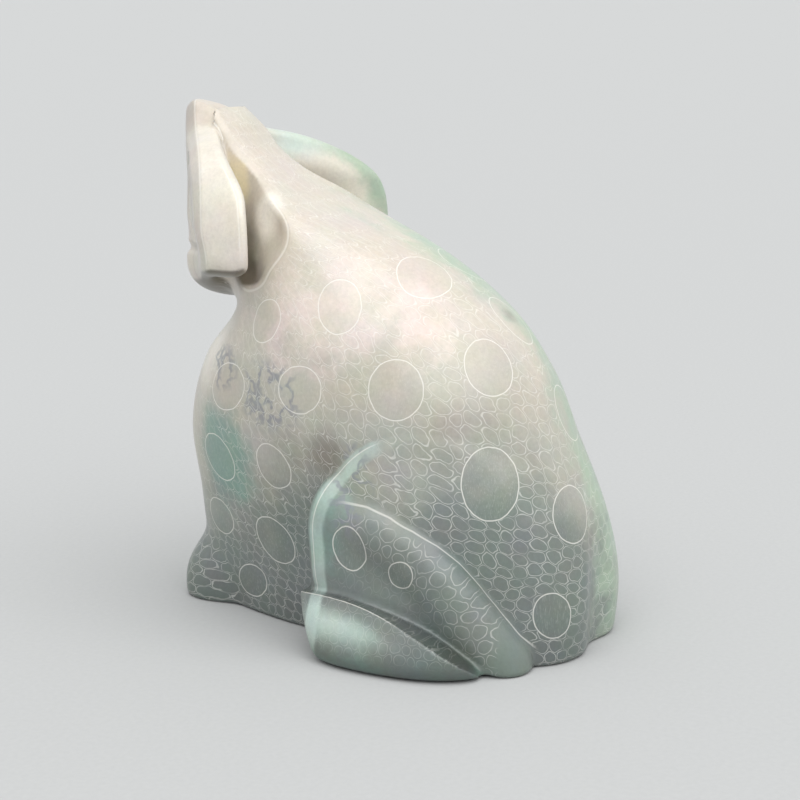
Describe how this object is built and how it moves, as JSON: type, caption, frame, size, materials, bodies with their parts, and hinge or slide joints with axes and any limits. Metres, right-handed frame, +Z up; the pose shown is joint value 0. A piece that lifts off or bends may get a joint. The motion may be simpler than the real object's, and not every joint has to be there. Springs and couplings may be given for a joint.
{
  "type": "soapstone frog carving",
  "caption": "Carved and engraved soapstone frog, sitting upright with its head raised and split into two swept wings; stands on its flat underside.",
  "frame": {"origin": "centre of the overall length and width, at the flat underside", "axes": "+Z up, the frog faces -Y, its left side is +X"},
  "size_m": [0.075, 0.0956, 0.1067],
  "materials": {
    "soapstone": "satin polish"
  },
  "bodies": {
    "root": {"frog_carving": "soapstone"}
  },
  "joints": []
}
